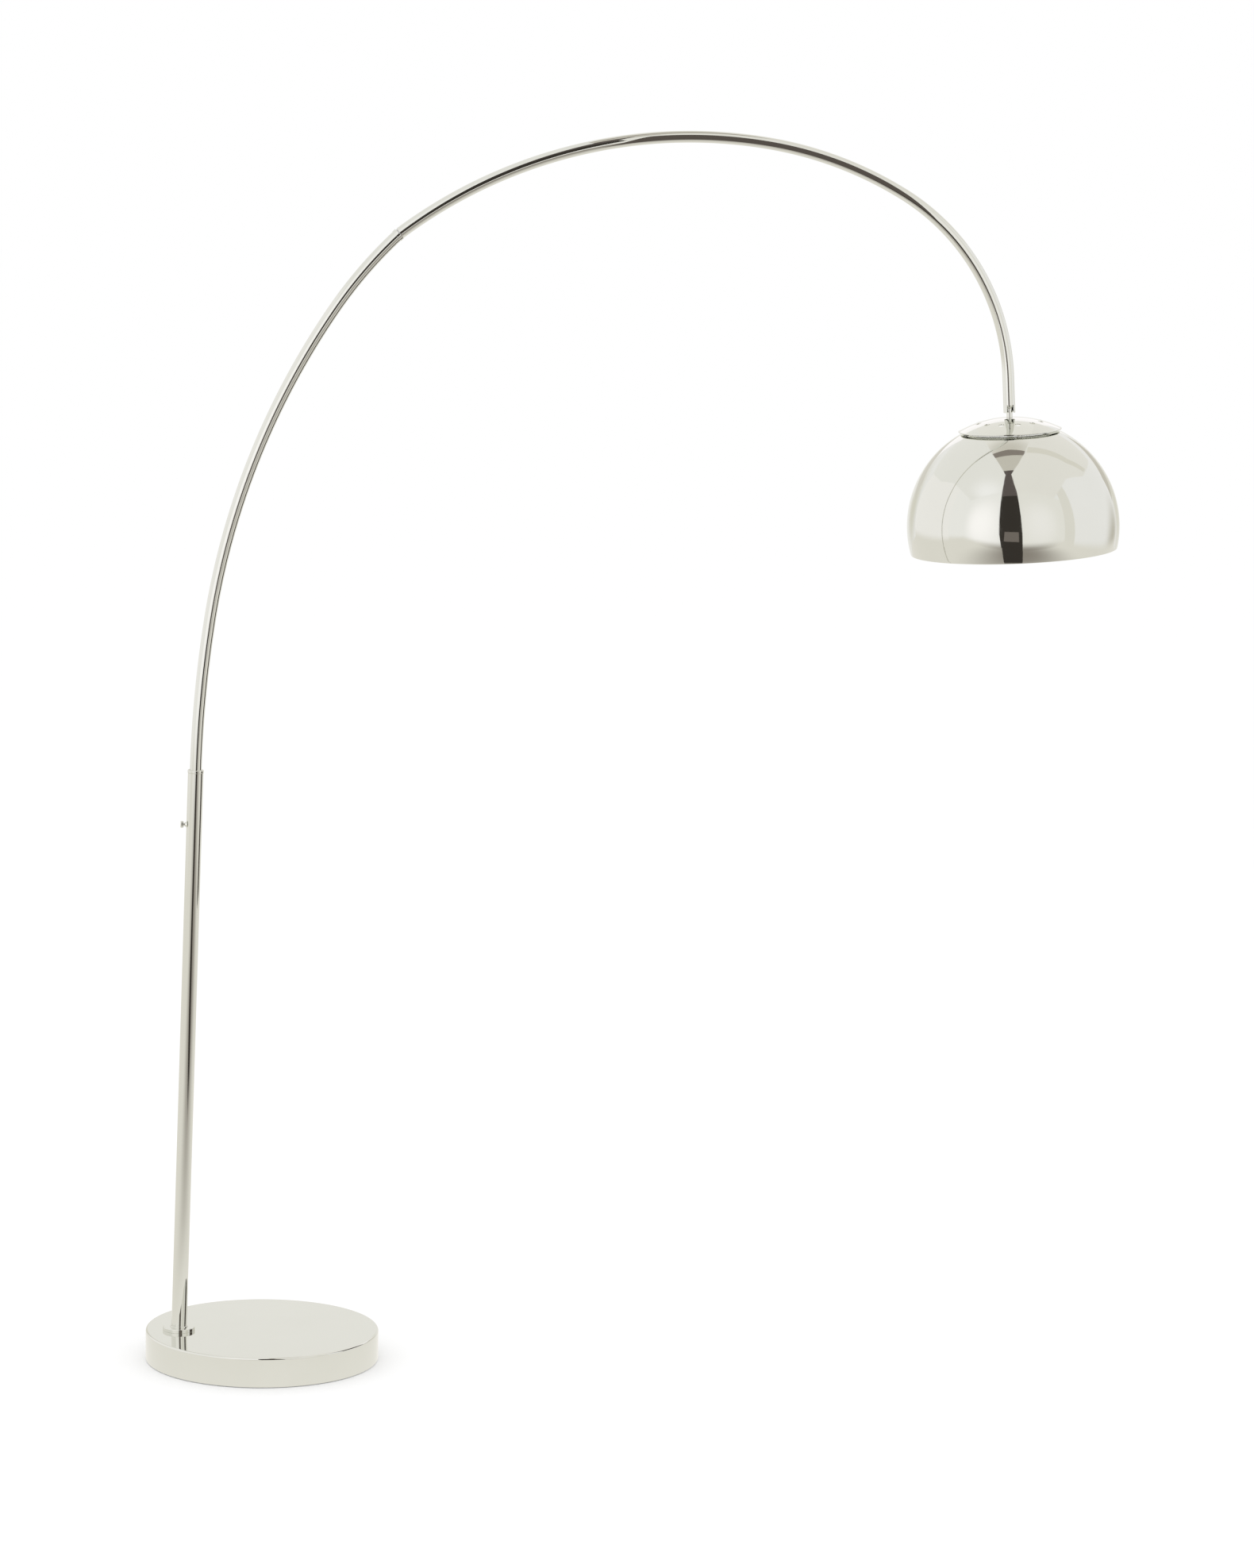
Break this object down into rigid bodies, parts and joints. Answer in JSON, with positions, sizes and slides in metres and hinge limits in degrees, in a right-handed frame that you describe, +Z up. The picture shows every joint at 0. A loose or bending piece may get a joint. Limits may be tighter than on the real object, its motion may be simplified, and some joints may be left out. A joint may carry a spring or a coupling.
{
  "type": "arc floor lamp",
  "caption": "Polished arc floor lamp: round weighted base, offset pole, bowed tube that slides and turns in the pole, and a tilting dome shade with a vented cap.",
  "frame": {"origin": "centre of the base's underside, on the floor", "axes": "+Z up, +X from the pole towards the shade; the bow lies in the XZ plane"},
  "size_m": [1.5772, 0.38, 2.0044],
  "materials": {
    "chrome_steel": "polished",
    "chrome_aluminium": "polished",
    "concrete": "matte",
    "black_steel": "satin",
    "zinc_steel": "satin",
    "brass": "satin",
    "foam": "matte",
    "black_rubber": "matte",
    "nylon": "satin",
    "flex_sheath": "satin",
    "black_plastic": "satin",
    "white_ceramic": "satin",
    "bulb_metal": "satin",
    "bulb_glass": "satin"
  },
  "bodies": {
    "stand": {"base_cover": "chrome_steel", "base_weight": "concrete", "weight_inserts": "brass", "base_plate": "black_steel", "base_screws": "zinc_steel", "base_pad": "foam", "cord_grommet": "black_rubber", "cord_clip": "nylon", "clip_screws": "zinc_steel", "base_flex": "flex_sheath", "pole_flange": "chrome_steel", "foot_ring": "chrome_steel", "pole_stud": "zinc_steel", "stud_washer": "zinc_steel", "stud_nut": "zinc_steel", "pole_plug": "zinc_steel", "pole_tube": "chrome_steel", "pole_collar": "chrome_steel", "guide_bush": "nylon", "clamp_boss": "chrome_steel", "pole_flex": "flex_sheath"},
    "clamp_pad": {"clamp_pad": "nylon"},
    "clamp_screw": {"clamp_screw": "chrome_steel"},
    "tail_bush": {"tail_bush": "nylon"},
    "bow": {"tail_plug": "nylon", "tail_clip": "zinc_steel", "lower_tube": "chrome_steel", "joint_ferrule": "chrome_steel", "joint_spigot": "zinc_steel", "joint_screw": "zinc_steel", "upper_tube": "chrome_steel", "ball_seat": "nylon", "ball_ring": "zinc_steel", "arc_flex": "flex_sheath"},
    "swivel_ball": {"swivel_ball": "chrome_steel"},
    "shade": {"shade_stem": "chrome_steel", "cap_washer": "zinc_steel", "cap_nut": "zinc_steel", "shade_cap": "chrome_aluminium", "cap_studs": "zinc_steel", "stud_spacers": "nylon", "stud_nuts": "zinc_steel", "shade_dome": "chrome_aluminium", "holder_nut": "zinc_steel", "holder_cap": "black_plastic", "holder_core": "white_ceramic", "holder_contact": "brass", "holder_shell": "brass", "holder_skirt": "black_plastic", "stem_flex": "flex_sheath", "bulb_base": "bulb_metal", "bulb_glass": "bulb_glass"}
  },
  "joints": [
    {"name": "height_slide", "type": "slide", "parent": "stand", "child": "tail_bush", "axis": [0.0244, 0, 0.9997], "range_m": [0, 0.2], "deforming": ["pole_flex"]},
    {"name": "bow_swivel", "type": "hinge", "parent": "tail_bush", "child": "bow", "pos_m": [-0.1134, 0, 0.97422], "axis": [0.0244, 0, 0.9997], "range_deg": [-90, 90]},
    {"name": "clamp_slide", "type": "slide", "parent": "stand", "child": "clamp_pad", "axis": [-0.9997, 0, 0.0244], "range_m": [0, 0.0016]},
    {"name": "clamp_turn", "type": "hinge", "parent": "clamp_pad", "child": "clamp_screw", "pos_m": [-0.11557, 0, 0.88525], "axis": [-0.9997, 0, 0.0244], "range_deg": [0, 721]},
    {"name": "shade_tilt", "type": "hinge", "parent": "bow", "child": "swivel_ball", "pos_m": [1.20176, 0, 1.56953], "axis": [-0.998, 0, -0.0628], "range_deg": [0, 45]},
    {"name": "shade_turn", "type": "hinge", "parent": "swivel_ball", "child": "shade", "pos_m": [1.20176, 0, 1.56953], "axis": [0.0628, 0, -0.998], "range_deg": [-170, 170]}
  ],
  "couplings": [
    {"joint": "clamp_turn", "follows": "clamp_slide", "rad_per_m": 7854}
  ]
}
